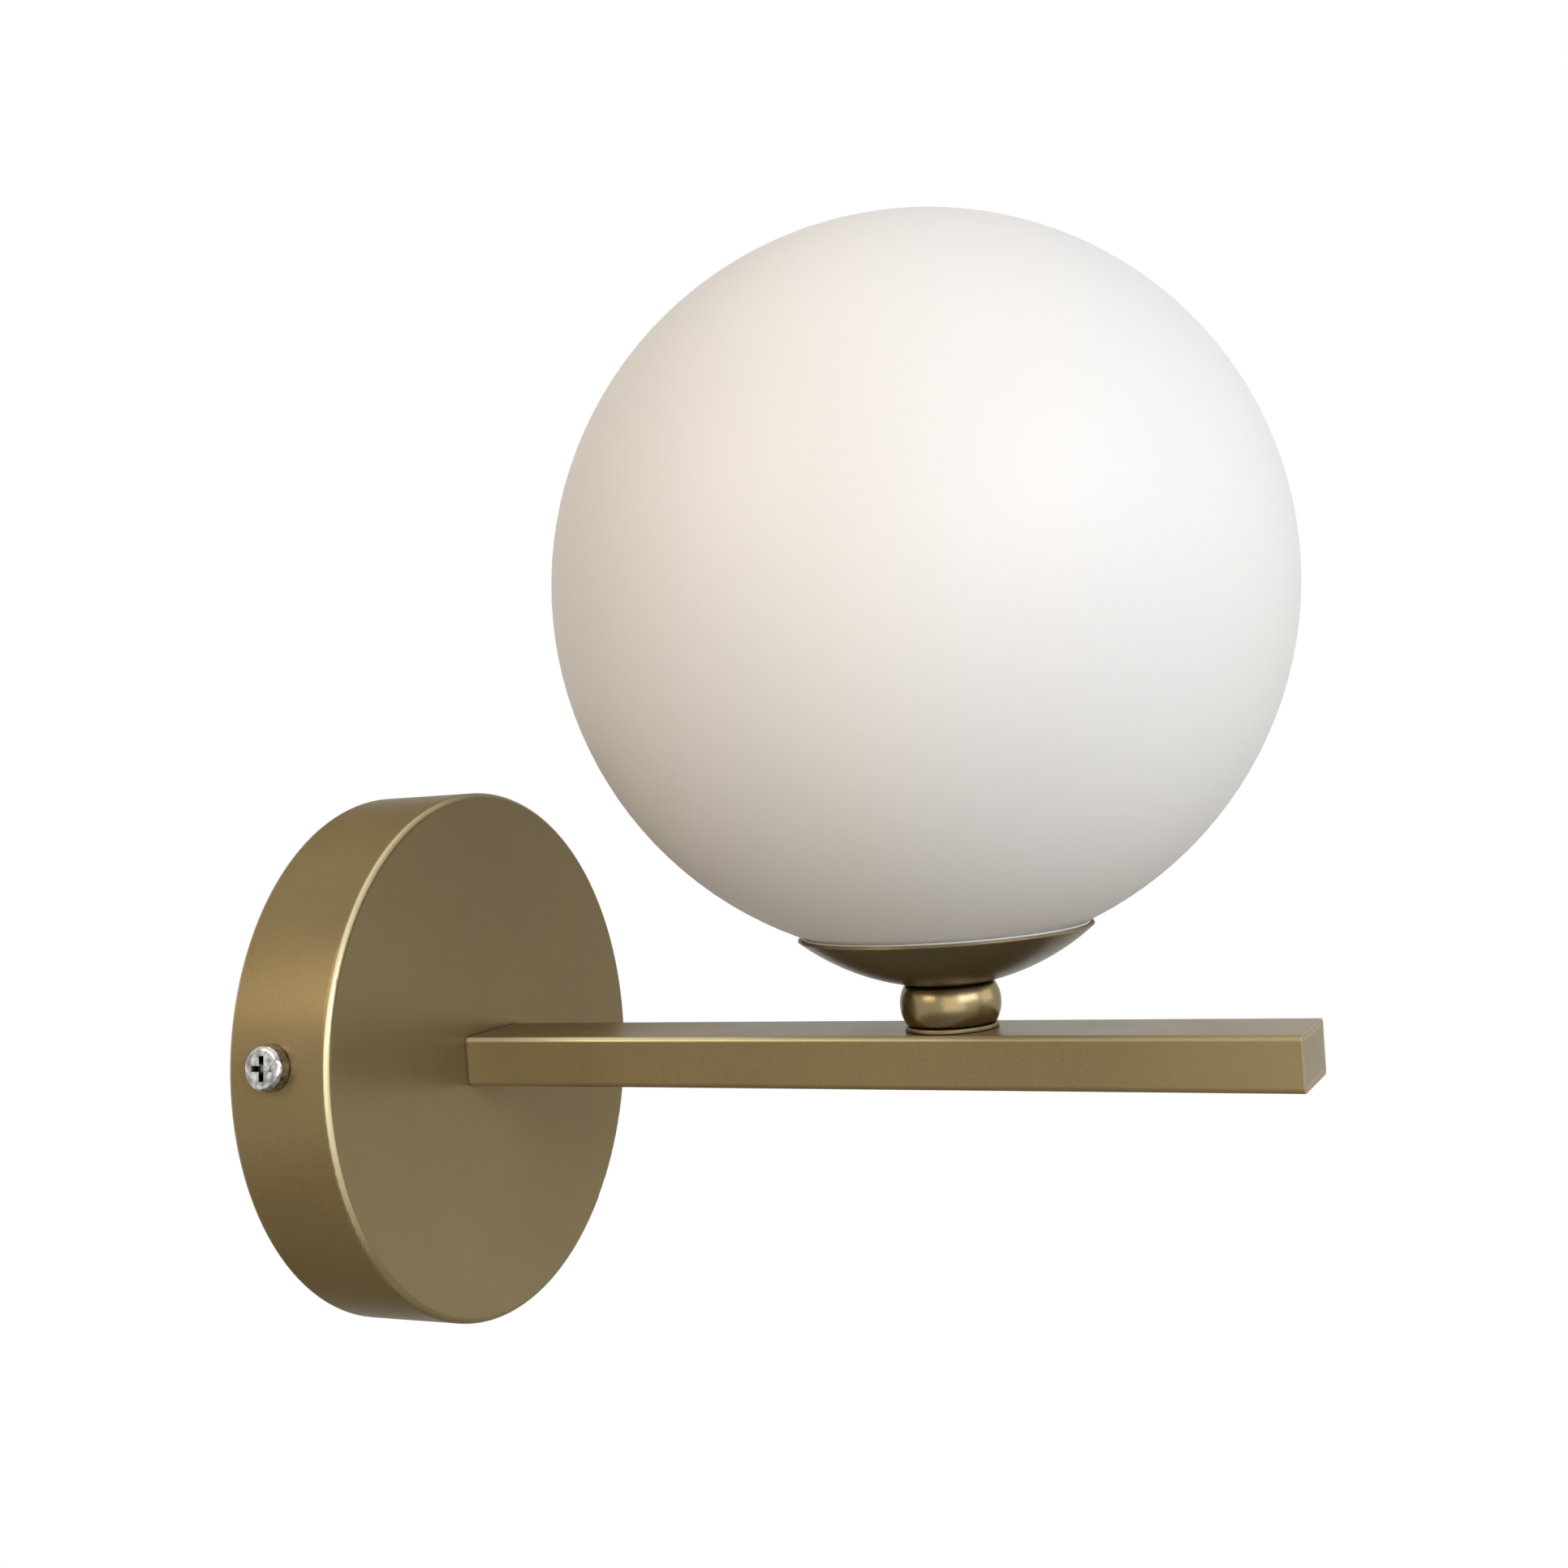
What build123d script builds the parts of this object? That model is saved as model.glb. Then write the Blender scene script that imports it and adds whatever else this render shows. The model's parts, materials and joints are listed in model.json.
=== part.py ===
from build123d import *
import os
from math import cos, radians, sin, sqrt, tan

# Globe wall sconce. Origin: centre of the wall plate's back, on the wall. +Y into the wall, +Z up.
# All sizes in millimetres.

# Clearances
thread_gap = 0.05      # radial, between a screw and its thread
slip_gap = 0.15        # radial, between a screw or nipple and a plain hole
fit_gap = 0.05         # per side, of an insert pushed into a tube or pocket
rest_gap = 0.1         # between a loose piece and the seat that it rests on
soft_gap = 0.35        # between the glass and the soft ring under it

# Wall plate
canopy_radius = 60.0
canopy_depth = 25.0
canopy_wall = 1.0
canopy_edge_radius = 1.5

# Wall bracket inside the wall plate
bracket_turn = 7.0           # degrees about +Y: the left side screw sits this much above the arm
bracket_sheet = 1.5
strap_half_width = 12.0
strap_half_length = 52.0
tongue_half_width = 15.5
tongue_reach = 42.0
bracket_corner_radius = 3.0
tab_half_width = 7.0
tab_reach = 19.0
tab_gap = 0.3
wall_screw_spacing = 80.0
wall_screw_hole_radius = 2.5

# Side screws that hold the wall plate on the bracket
side_screw_radius = 2.5
side_screw_length = 12.0
side_screw_inset = 11.0      # from the wall to the screw's axis
side_screw_head_radius = 4.75
side_screw_head_height = 3.2
side_screw_hole_radius = 2.75
weld_nut_flats = 8.0
weld_nut_height = 4.0

hex_sides = 6                # of every nut, and of the bulb's core

# Cross recess of every screw head, as shares of that head's radius and height
recess_reach_share = 0.55
recess_width_share = 0.26
recess_depth_share = 0.5
head_crown_share = 0.34

# Cable entry in the bracket
grommet_hole_radius = 8.0
grommet_bore_radius = 4.0
grommet_flange_radius = 9.8
grommet_flange_thickness = 1.8

# Terminal block on the bracket's tongue
block_width = 29.0
block_length = 17.0
block_height = 13.0
block_top = -21.0            # height of the block's upper side, in the bracket's frame
way_count = 3
way_spacing = 9.0
way_axis_height = 5.0        # from the block's foot to the clamp tubes' axis
clamp_radius = 2.6
clamp_bore_radius = 1.7
clamp_length = 14.0
clamp_screw_radius = 1.4
clamp_screw_spacing = 7.0
clamp_screw_inset = 1.2      # of the screws' heads behind the block's front
clamp_slot_width = 0.6
clamp_slot_depth = 0.5
groove_width = 1.2
groove_depth = 5.0
block_screw_radius = 1.4
block_screw_head_radius = 2.3
block_screw_head_height = 1.6
block_screw_well_depth = 4.5

# Earth screw on the bracket
earth_screw_radius = 2.0
earth_screw_head_radius = 3.8
earth_screw_head_height = 2.6
earth_screw_reach = 24.0     # along the strap from its middle
earth_tag_radius = 4.2
earth_tag_turn = 50.0        # degrees, of the tag's crimp barrel from straight down
earth_tag_thickness = 0.6
earth_crimp_length = 5.0
earth_crimp_wall = 0.35

# Arm: a flat rectangular tube
arm_width = 22.0
arm_height = 11.0
arm_length = 185.0
arm_wall = 1.0
arm_corner_radius = 1.2
arm_inner_corner_radius = 0.3
arm_cap_thickness = 1.5

# Joint of the arm and the wall plate
root_plug_length = 14.0
root_plug_corner = 0.5
backing_plate_width = 32.0
backing_plate_height = 20.0
backing_plate_thickness = 2.0
arm_screw_offset = 7.0
arm_screw_radius = 2.0
arm_screw_length = 12.0
arm_screw_head_radius = 3.4
arm_screw_head_height = 2.6
arm_screw_well_depth = 11.5
small_lock_washer_radius = 3.4
small_lock_washer_thickness = 0.8
root_bore_radius = 2.9
root_bushing_wall = 0.5
root_bushing_flange_radius = 3.4
root_bushing_flange_thickness = 0.8

# Stem: hollow nipple, foot ring, bead and cup
stem_reach = 137.5           # from the wall to the globe's axis
nipple_radius = 5.0
nipple_bore_radius = 3.6
nipple_below_nut = 0.9
nipple_above_nut = 1.4
stem_nut_flats = 14.0
stem_nut_height = 3.0
foot_radius = 9.6
foot_thickness = 1.0
foot_edge_radius = 0.3
bead_radius = 10.4
bead_height = 8.7
bead_crown = 1.35            # of its side, from a straight cylinder
bead_corner_radius = 1.4
cup_floor_radius = 9.0
cup_rim_radius = 30.8
cup_depth = 10.6
cup_dish_radius = 48.0
cup_wall = 1.0
cup_lip_chamfer = 0.6
gasket_inner_radius = 25.2
gasket_outer_radius = 28.0

# Spring cage that grips the globe's collar
cage_sheet = 0.5
cage_base_radius = 8.6
finger_count = 4
finger_sweep = 18.0          # degrees round the axis
finger_grip_gap = 0.12
finger_knee_drop = 5.2       # from the gripping point down to the knee
finger_knee_inset = 0.9
finger_tip_rise = 4.0
finger_tip_inset = 1.2

# Lampholder on its saddle
saddle_sheet = 1.0
saddle_inner_half_span = 8.3
saddle_tab_length = 5.2
saddle_half_width = 4.0
saddle_base_radius = 8.4
large_lock_washer_radius = 7.0
large_lock_washer_thickness = 0.8
cup_nut_flats = 14.0
cup_nut_height = 3.0
nipple_bushing_wall = 0.5
nipple_bushing_flange_radius = 4.8
nipple_bushing_flange_thickness = 0.8
lead_room = 6.4              # between the nipple's bushing and the lampholder's foot
holder_foot_length = 27.6
holder_foot_width = 16.0
holder_foot_height = 4.0
holder_body_length = 16.0
holder_body_width = 15.0
holder_height = 20.0
holder_corner_radius = 3.0
holder_roof = 3.0
holder_screw_offset = 11.2
holder_screw_radius = 1.5
holder_screw_head_radius = 2.6
holder_screw_head_height = 1.9
holder_screw_length = 8.0
pin_spacing = 9.0
pocket_length = 4.8
pocket_width = 3.2
pin_slot_length = 3.6
pin_slot_width = 1.2
contact_sheet = 0.4
contact_width = 4.2
contact_leaf_height = 11.0
contact_crimp_length = 2.4

# Bulb
bulb_pin_wire_radius = 0.4
bulb_pin_legs = 2.2          # distance between the two legs of one pin loop
bulb_pin_length = 14.0
bulb_base_radius = 7.2
bulb_base_height = 10.0
bulb_base_edge_radius = 1.2
bulb_radius = 8.0
bulb_height = 37.0
bulb_envelope_wall = 0.9
bulb_core_radius = 4.2
bulb_core_height = 26.0

# Globe and its collar
globe_radius = 75.0
globe_wall = 3.0
globe_seat_gap = 0.45        # between the glass and the cup's inner rim
globe_hole_radius = 20.0
bond_gap = 0.3
collar_bore_radius = 18.0
collar_flange_radius = 24.0
collar_flange_thickness = 0.9
collar_foot = 1.2
collar_rise = 9.0

# Leads
lead_radius = 0.8
lead_pair_offset = 0.95      # of each lead from the middle of a bore
lead_floor_drop = 2.6        # from the arm's middle down to the leads' axes
lead_rise = 7.0              # straight run out of the terminal block
lead_approach = 7.0          # straight run into the wall plate's bore
lead_lean = 9.0              # half length of the sloping run behind the root plug
lead_spread = 2.4            # of each lead towards its side in the arm

# ------------------------------------------------------------------ places worked out from the sizes
canopy_inner_radius = canopy_radius - canopy_wall
canopy_face_back = -canopy_depth + canopy_wall
plate_front = canopy_face_back + backing_plate_thickness
cut_through = 2 * canopy_depth     # length of a cut that passes right through the wall plate
tab_outer = sqrt(canopy_inner_radius**2 - tab_half_width**2) - tab_gap

way_axis_y = -bracket_sheet - way_axis_height
block_front = -bracket_sheet - block_height
block_middle = block_top - block_length / 2
earth_crimp_radius = lead_radius + fit_gap + earth_crimp_wall
earth_crimp_axis_y = -bracket_sheet - earth_crimp_radius

arm_root = -canopy_depth
arm_end = arm_root - arm_length
arm_inner_width = arm_width - 2 * arm_wall
arm_inner_height = arm_height - 2 * arm_wall

arm_top = arm_height / 2
arm_ceiling = arm_top - arm_wall
nipple_bottom = arm_ceiling - stem_nut_height - nipple_below_nut
foot_top = arm_top + foot_thickness
bead_top = foot_top + bead_height
cup_floor_top = bead_top + cup_wall
cup_rim = bead_top + cup_depth
cage_top = cup_floor_top + cage_sheet
saddle_base_top = cage_top + saddle_sheet
cup_washer_top = saddle_base_top + large_lock_washer_thickness
cup_nut_top = cup_washer_top + cup_nut_height
nipple_top = cup_nut_top + nipple_above_nut
bushing_top = nipple_top + nipple_bushing_flange_thickness
holder_seat = bushing_top + lead_room
contact_foot = holder_seat + contact_crimp_length
holder_top = holder_seat + holder_height
bulb_seat = holder_top + rest_gap
bulb_envelope_foot = bulb_seat + bulb_base_height


def arc_centre(start, end, radius):
    """Centre of the arc of this radius that sags below the chord from start to end."""
    run, rise = end[0] - start[0], end[1] - start[1]
    chord = sqrt(run**2 + rise**2)
    height = sqrt(radius**2 - (chord / 2) ** 2)
    middle = ((start[0] + end[0]) / 2, (start[1] + end[1]) / 2)
    return middle[0] - rise / chord * height, middle[1] + run / chord * height


def bowl_height(centre, radius, out):
    """Height of a bowl's surface at this distance from the stem's axis."""
    return centre[1] - sqrt(radius**2 - (out - centre[0]) ** 2)


def bowl_reach(centre, radius, height):
    """Distance from the stem's axis at which a bowl's surface has this height."""
    return centre[0] + sqrt(radius**2 - (centre[1] - height) ** 2)


dish_centre = arc_centre((cup_floor_radius, bead_top), (cup_rim_radius, cup_rim), cup_dish_radius)
dish_inner_radius = cup_dish_radius - cup_wall
cup_inner_rim_radius = bowl_reach(dish_centre, dish_inner_radius, cup_rim)
globe_centre = cup_rim + sqrt((globe_radius + globe_seat_gap) ** 2 - cup_inner_rim_radius**2)


def glass_height(out):
    """Height of the underside of the glass at this distance from its axis."""
    return globe_centre - sqrt(globe_radius**2 - out**2)


def on_stem(piece):
    return Pos(0, -stem_reach, 0) * piece


def on_bracket(piece):
    return Rot(0, bracket_turn, 0) * piece


def bracket_point(x, y, z):
    turn = radians(bracket_turn)
    return (x * cos(turn) + z * sin(turn), y, z * cos(turn) - x * sin(turn))


def outline(*points):
    return make_face(Polyline(*points, close=True))


def lathe_z(profile):
    """Turn a profile drawn as (distance from axis, height) about the Z axis."""
    return revolve(Plane.XZ * profile, Axis.Z)


def ring_z(outer, inner, low, high):
    """A round ring about the Z axis."""
    return lathe_z(outline((inner, low), (outer, low), (outer, high), (inner, high)))


def rod(radius, start, end):
    """A round rod between two points on a line along X, Y or Z."""
    axis = Vector(*end) - Vector(*start)
    return extrude(Plane(origin=start, z_dir=axis) * Circle(radius), axis.length)


def tube(outer, inner, start, end):
    return rod(outer, start, end) - rod(inner, start, end)


def block(low, high):
    """A box between its lowest and highest corners."""
    size = [h - l for l, h in zip(low, high)]
    middle = [(h + l) / 2 for l, h in zip(low, high)]
    return Pos(*middle) * Box(*size)


def hex_nut(flats, bore, low, high):
    """A hexagonal nut about the Z axis, with two of its flats square to X."""
    hexagon = RegularPolygon(flats / 2, hex_sides, major_radius=False, rotation=180 / hex_sides)
    return Pos(0, 0, low) * extrude(hexagon - Circle(bore), high - low)


def cross_recess(head_radius, head_height):
    """The two crossed slots in the top of a screw head that stands on height 0."""
    length = 2 * recess_reach_share * head_radius
    width = recess_width_share * head_radius
    slot = Box(length, width, 2 * recess_depth_share * head_height)
    return Pos(0, 0, head_height) * (slot + Rot(0, 0, 90) * slot)


def pan_screw(radius, length, head_radius, head_height):
    """A pan-head screw along -Z, with its head's seat at height 0."""
    head = Pos(0, 0, head_height / 2) * Cylinder(head_radius, head_height)
    head = fillet(head.edges().group_by(Axis.Z)[-1], head_crown_share * head_height)
    head -= cross_recess(head_radius, head_height)
    return head + Pos(0, 0, -length / 2) * Cylinder(radius, length)


def facing_wall(piece):
    """Turn a screw drawn along -Z so that it points into the wall and its head faces the room."""
    return Rot(90, 0, 0) * piece


def facing_room(piece):
    """Turn a screw drawn along -Z so that it points into the room and its head faces the wall."""
    return Rot(-90, 0, 0) * piece


def corner_radii(points):
    """The largest radii that a route's runs leave room for, one for each of its corners."""
    vectors = [Vector(*p) for p in points]
    runs = [b - a for a, b in zip(vectors, vectors[1:])]
    radii = []
    for before, after in zip(runs, runs[1:]):
        shorter = min(before.length, after.length)
        radii.append(0.45 * shorter / tan(radians(before.get_angle(after)) / 2))
    return radii


def lead(name, points):
    """An insulated lead along straight runs joined by tangent arcs."""
    radii = corner_radii(points)
    print(name, "radii", [round(r, 1) for r in radii])
    path = FilletPolyline(*points, radius=radii)
    solid = sweep(Plane(origin=path @ 0, z_dir=path % 0) * Circle(lead_radius), path)
    print(name, "length", round(path.length, 1))
    return solid


# ------------------------------------------------------------------ wall bracket and what it carries
def wall_bracket():
    strap = Rectangle(2 * strap_half_length, 2 * strap_half_width)
    tongue = Pos(0, -tongue_reach / 2) * Rectangle(2 * tongue_half_width, tongue_reach)
    plan = fillet((strap + tongue).vertices(), bracket_corner_radius)
    plan += Rectangle(2 * tab_outer, 2 * tab_half_width)
    plan -= Circle(grommet_hole_radius)
    for side in (-1, 1):
        plan -= Pos(side * wall_screw_spacing / 2, 0) * Circle(wall_screw_hole_radius)
    plan -= Pos(earth_screw_reach, 0) * Circle(earth_screw_radius + thread_gap)
    plan -= Pos(block_screw_place()[0], block_screw_place()[1]) * Circle(block_screw_radius + thread_gap)
    sheet = extrude(Plane.XZ * plan, bracket_sheet)
    for side in (-1, 1):
        inner, outer = sorted((side * (tab_outer - bracket_sheet), side * tab_outer))
        tab = block((inner, -tab_reach, -tab_half_width), (outer, 0, tab_half_width))
        tip_edges = tab.edges().filter_by(Axis.X).group_by(Axis.Y)[0]
        tab = fillet(tip_edges, bracket_corner_radius)
        hole_start = (side * (tab_outer - 2 * bracket_sheet), -side_screw_inset, 0)
        hole_end = (side * (tab_outer + bracket_sheet), -side_screw_inset, 0)
        sheet += tab - rod(side_screw_radius + thread_gap, hole_start, hole_end)
    return on_bracket(sheet)


def weld_nuts():
    nuts = []
    for side in (-1, 1):
        nut = hex_nut(weld_nut_flats, side_screw_radius + thread_gap, 0, weld_nut_height)
        inner_face = tab_outer - bracket_sheet
        nuts.append(Pos(side * inner_face, -side_screw_inset, 0) * Rot(0, -side * 90, 0) * nut)
    return Compound(children=[on_bracket(n) for n in nuts])


def side_screw(side):
    screw = pan_screw(
        side_screw_radius, side_screw_length, side_screw_head_radius, side_screw_head_height
    )
    seat = canopy_radius + rest_gap
    return on_bracket(Pos(side * seat, -side_screw_inset, 0) * Rot(0, side * 90, 0) * screw)


def cable_grommet():
    inside = grommet_hole_radius - fit_gap
    flange_front = -bracket_sheet - grommet_flange_thickness
    profile = outline(
        (grommet_bore_radius, 0),
        (inside, 0),
        (inside, -bracket_sheet),
        (grommet_flange_radius, -bracket_sheet),
        (grommet_flange_radius, flange_front),
        (grommet_bore_radius, flange_front),
    )
    return revolve(profile, Axis.Y)


def way_places():
    """Places of the terminal ways along the block, from its left."""
    return [(i - (way_count - 1) / 2) * way_spacing for i in range(way_count)]


def block_screw_place():
    """Place of the block's fixing screw on the bracket's tongue."""
    return (way_places()[-1] - way_spacing / 2, block_top - block_length / 2)


def terminal_block():
    body = block(
        (-block_width / 2, block_front, block_top - block_length),
        (block_width / 2, -bracket_sheet, block_top),
    )
    for x in way_places():
        way_start, way_end = (x, way_axis_y, block_top), (x, way_axis_y, block_top - block_length)
        body -= rod(clamp_radius + fit_gap, way_start, way_end)
        for z in clamp_screw_heights():
            body -= rod(clamp_screw_radius + slip_gap, (x, way_axis_y, z), (x, block_front, z))
    for x in way_places()[1:]:
        middle = x - way_spacing / 2
        low = (middle - groove_width / 2, block_front, block_top - block_length)
        high = (middle + groove_width / 2, block_front + groove_depth, block_top)
        body -= block(low, high)
    x, z = block_screw_place()
    well_floor = block_front + block_screw_well_depth
    body -= rod(block_screw_radius + slip_gap, (x, 0, z), (x, block_front, z))
    body -= rod(block_screw_head_radius + slip_gap, (x, well_floor, z), (x, block_front, z))
    return on_bracket(body)


def clamp_screw_heights():
    return [block_middle + side * clamp_screw_spacing / 2 for side in (-1, 1)]


def terminal_clamps():
    clamps = []
    low, high = block_middle - clamp_length / 2, block_middle + clamp_length / 2
    for x in way_places():
        clamp = tube(clamp_radius, clamp_bore_radius, (x, way_axis_y, low), (x, way_axis_y, high))
        for z in clamp_screw_heights():
            clamp -= rod(clamp_screw_radius + thread_gap, (x, way_axis_y, z), (x, block_front, z))
        clamps.append(on_bracket(clamp))
    return Compound(children=clamps)


def terminal_clamp_screws():
    tip = way_axis_y - lead_radius - rest_gap
    head = block_front + clamp_screw_inset
    screws = []
    for x in way_places():
        for z in clamp_screw_heights():
            screw = rod(clamp_screw_radius, (x, tip, z), (x, head, z))
            slot = Box(2 * clamp_screw_radius, 2 * clamp_slot_depth, clamp_slot_width)
            screw -= Pos(x, head, z) * slot
            screws.append(on_bracket(screw))
    return Compound(children=screws)


def terminal_fixing_screw():
    x, z = block_screw_place()
    seat = block_front + block_screw_well_depth
    length = -seat
    screw = pan_screw(
        block_screw_radius, length, block_screw_head_radius, block_screw_head_height
    )
    return on_bracket(Pos(x, seat, z) * facing_wall(screw))


def on_earth_tag(piece):
    """Place a piece drawn about the origin, with its crimp barrel straight down, on the earth screw."""
    return on_bracket(Pos(earth_screw_reach, 0, 0) * Rot(0, earth_tag_turn, 0) * piece)


def crimp_point(distance):
    """A point on the crimp barrel's axis at this distance from the earth screw, for the lead's route."""
    turn = radians(earth_tag_turn)
    x = earth_screw_reach - distance * sin(turn)
    return bracket_point(x, earth_crimp_axis_y, -distance * cos(turn))


def earth_ring_tag():
    barrel_end = earth_tag_radius + earth_crimp_length
    plate = Circle(earth_tag_radius)
    plate += Pos(0, -barrel_end / 2) * Rectangle(2 * earth_crimp_radius, barrel_end)
    plate -= Circle(earth_screw_radius + slip_gap)
    tag = Pos(0, -bracket_sheet, 0) * extrude(Plane.XZ * plate, earth_tag_thickness)
    start, end = (0, earth_crimp_axis_y, -barrel_end), (0, earth_crimp_axis_y, -earth_tag_radius)
    tag += rod(earth_crimp_radius, start, end)
    return on_earth_tag(tag - rod(lead_radius + fit_gap, start, end))


def earth_screw():
    seat = -bracket_sheet - earth_tag_thickness
    screw = pan_screw(
        earth_screw_radius, -seat, earth_screw_head_radius, earth_screw_head_height
    )
    return on_bracket(Pos(earth_screw_reach, seat, 0) * facing_wall(screw))


# ------------------------------------------------------------------ wall plate
def canopy():
    profile = outline(
        (canopy_radius, 0),
        (canopy_radius, -canopy_depth),
        (0, -canopy_depth),
        (0, canopy_face_back),
        (canopy_inner_radius, canopy_face_back),
        (canopy_inner_radius, 0),
    )
    outer_corner = profile.vertices().sort_by_distance((canopy_radius, -canopy_depth, 0))[0]
    profile = fillet(outer_corner, canopy_edge_radius)
    inner_corner = profile.vertices().sort_by_distance((canopy_inner_radius, canopy_face_back, 0))[0]
    profile = fillet(inner_corner, canopy_edge_radius / 2)
    shell = revolve(profile, Axis.Y)
    shell -= rod(root_bore_radius, (0, 0, 0), (0, -cut_through, 0))
    for side in (-1, 1):
        x = side * arm_screw_offset
        shell -= rod(arm_screw_radius + slip_gap, (x, 0, 0), (x, -cut_through, 0))
        start = bracket_point(side * tab_outer, -side_screw_inset, 0)
        end = bracket_point(side * (canopy_radius + canopy_wall), -side_screw_inset, 0)
        shell -= rod(side_screw_hole_radius, start, end)
    return shell


def arm_backing_plate():
    plate = RectangleRounded(backing_plate_width, backing_plate_height, bracket_corner_radius)
    plate -= Circle(root_bore_radius)
    for side in (-1, 1):
        plate -= Pos(side * arm_screw_offset, 0) * Circle(arm_screw_radius + slip_gap)
    return Pos(0, plate_front, 0) * extrude(Plane.XZ * plate, backing_plate_thickness)


# ------------------------------------------------------------------ arm
def arm_tube():
    section = RectangleRounded(arm_width, arm_height, arm_corner_radius)
    section -= RectangleRounded(arm_inner_width, arm_inner_height, arm_inner_corner_radius)
    body = Pos(0, arm_root, 0) * extrude(Plane.XZ * section, arm_length)
    return body - on_stem(rod(nipple_radius + slip_gap, (0, 0, 0), (0, 0, arm_height)))


def arm_insert_section():
    width = arm_inner_width - 2 * fit_gap
    height = arm_inner_height - 2 * fit_gap
    return chamfer(Rectangle(width, height).vertices(), root_plug_corner)


def arm_end_cap():
    inner_face = arm_end + arm_cap_thickness
    return Pos(0, inner_face, 0) * extrude(Plane.XZ * arm_insert_section(), arm_cap_thickness)


def arm_root_plug():
    plug = Pos(0, arm_root, 0) * extrude(Plane.XZ * arm_insert_section(), root_plug_length)
    plug -= rod(root_bore_radius, (0, 0, 0), (0, 2 * arm_root, 0))
    for side in (-1, 1):
        x = side * arm_screw_offset
        hole = rod(arm_screw_radius + thread_gap, (x, 0, 0), (x, arm_root - arm_screw_well_depth, 0))
        plug -= hole
    return plug


def arm_screws():
    seat = plate_front + small_lock_washer_thickness
    screws = []
    for side in (-1, 1):
        screw = pan_screw(
            arm_screw_radius, arm_screw_length, arm_screw_head_radius, arm_screw_head_height
        )
        screws.append(Pos(side * arm_screw_offset, seat, 0) * facing_room(screw))
    return Compound(children=screws)


def arm_lock_washers():
    washers = []
    for side in (-1, 1):
        x = side * arm_screw_offset
        start, end = (x, plate_front, 0), (x, plate_front + small_lock_washer_thickness, 0)
        washers.append(tube(small_lock_washer_radius, arm_screw_radius + slip_gap, start, end))
    return Compound(children=washers)


def root_bushing():
    outside = root_bore_radius - fit_gap
    inside = outside - root_bushing_wall
    plug_end = arm_root - root_plug_length
    profile = outline(
        (inside, plate_front + root_bushing_flange_thickness),
        (root_bushing_flange_radius, plate_front + root_bushing_flange_thickness),
        (root_bushing_flange_radius, plate_front),
        (outside, plate_front),
        (outside, plug_end),
        (inside, plug_end),
    )
    return revolve(profile, Axis.Y)


# ------------------------------------------------------------------ stem
def stem_nipple():
    return on_stem(ring_z(nipple_radius, nipple_bore_radius, nipple_bottom, nipple_top))


def stem_nut():
    bore = nipple_radius + thread_gap
    return on_stem(hex_nut(stem_nut_flats, bore, arm_ceiling - stem_nut_height, arm_ceiling))


def foot_ring():
    ring = ring_z(foot_radius, nipple_radius + slip_gap, arm_top, foot_top)
    outer_edges = ring.edges().filter_by(GeomType.CIRCLE).sort_by(SortBy.RADIUS)[-2:]
    return on_stem(fillet(outer_edges, foot_edge_radius))


def bead():
    bore = nipple_radius + slip_gap
    shoulder = bead_radius - bead_crown
    side = ThreePointArc(
        (shoulder, foot_top), (bead_radius, foot_top + bead_height / 2), (shoulder, bead_top)
    )
    rest = Polyline(side @ 1, (bore, bead_top), (bore, foot_top), side @ 0)
    profile = make_face([side, rest])
    outer_corners = profile.vertices().group_by(Axis.X)[-1]
    return on_stem(lathe_z(fillet(outer_corners, bead_corner_radius)))


def cup():
    hole = nipple_radius + slip_gap
    floor_edge = bowl_reach(dish_centre, dish_inner_radius, cup_floor_top)
    outer = RadiusArc((cup_floor_radius, bead_top), (cup_rim_radius, cup_rim), -cup_dish_radius)
    inner = RadiusArc((cup_inner_rim_radius, cup_rim), (floor_edge, cup_floor_top), dish_inner_radius)
    lip = Line(outer @ 1, inner @ 0)
    rest = Polyline(inner @ 1, (hole, cup_floor_top), (hole, bead_top), outer @ 0)
    profile = make_face([outer, lip, inner, rest])
    lip_corner = profile.vertices().sort_by_distance((cup_rim_radius, cup_rim, 0))[0]
    return on_stem(lathe_z(chamfer(lip_corner, cup_lip_chamfer)))


def cup_gasket():
    profile = outline(
        (gasket_inner_radius, bowl_height(dish_centre, dish_inner_radius, gasket_inner_radius)),
        (gasket_outer_radius, bowl_height(dish_centre, dish_inner_radius, gasket_outer_radius)),
        (gasket_outer_radius, glass_height(gasket_outer_radius) - soft_gap),
        (gasket_inner_radius, glass_height(gasket_inner_radius) - soft_gap),
    )
    return on_stem(lathe_z(profile))


def spring_cage():
    grip = collar_bore_radius - finger_grip_gap
    grip_z = glass_height(globe_hole_radius) + collar_rise / 2
    knee = (grip - finger_knee_inset, grip_z - finger_knee_drop)
    tip = (grip - finger_tip_inset, grip_z + finger_tip_rise)
    root = (cage_base_radius - cage_sheet, cup_floor_top)
    profile = Plane.XZ * outline(
        root,
        (cage_base_radius, cup_floor_top),
        knee,
        (grip, grip_z),
        tip,
        (tip[0] - cage_sheet, tip[1]),
        (grip - cage_sheet, grip_z),
        (knee[0] - cage_sheet, knee[1] + cage_sheet / 2),
        (cage_base_radius - cage_sheet / 2, cage_top),
        (root[0], cage_top),
    )
    cage = ring_z(cage_base_radius, nipple_radius + slip_gap, cup_floor_top, cage_top)
    for i in range(finger_count):
        middle = (i + 0.5) * 360 / finger_count
        finger = revolve(profile, Axis.Z, revolution_arc=finger_sweep)
        cage += Rot(0, 0, middle - finger_sweep / 2) * finger
    return on_stem(cage)


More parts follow.
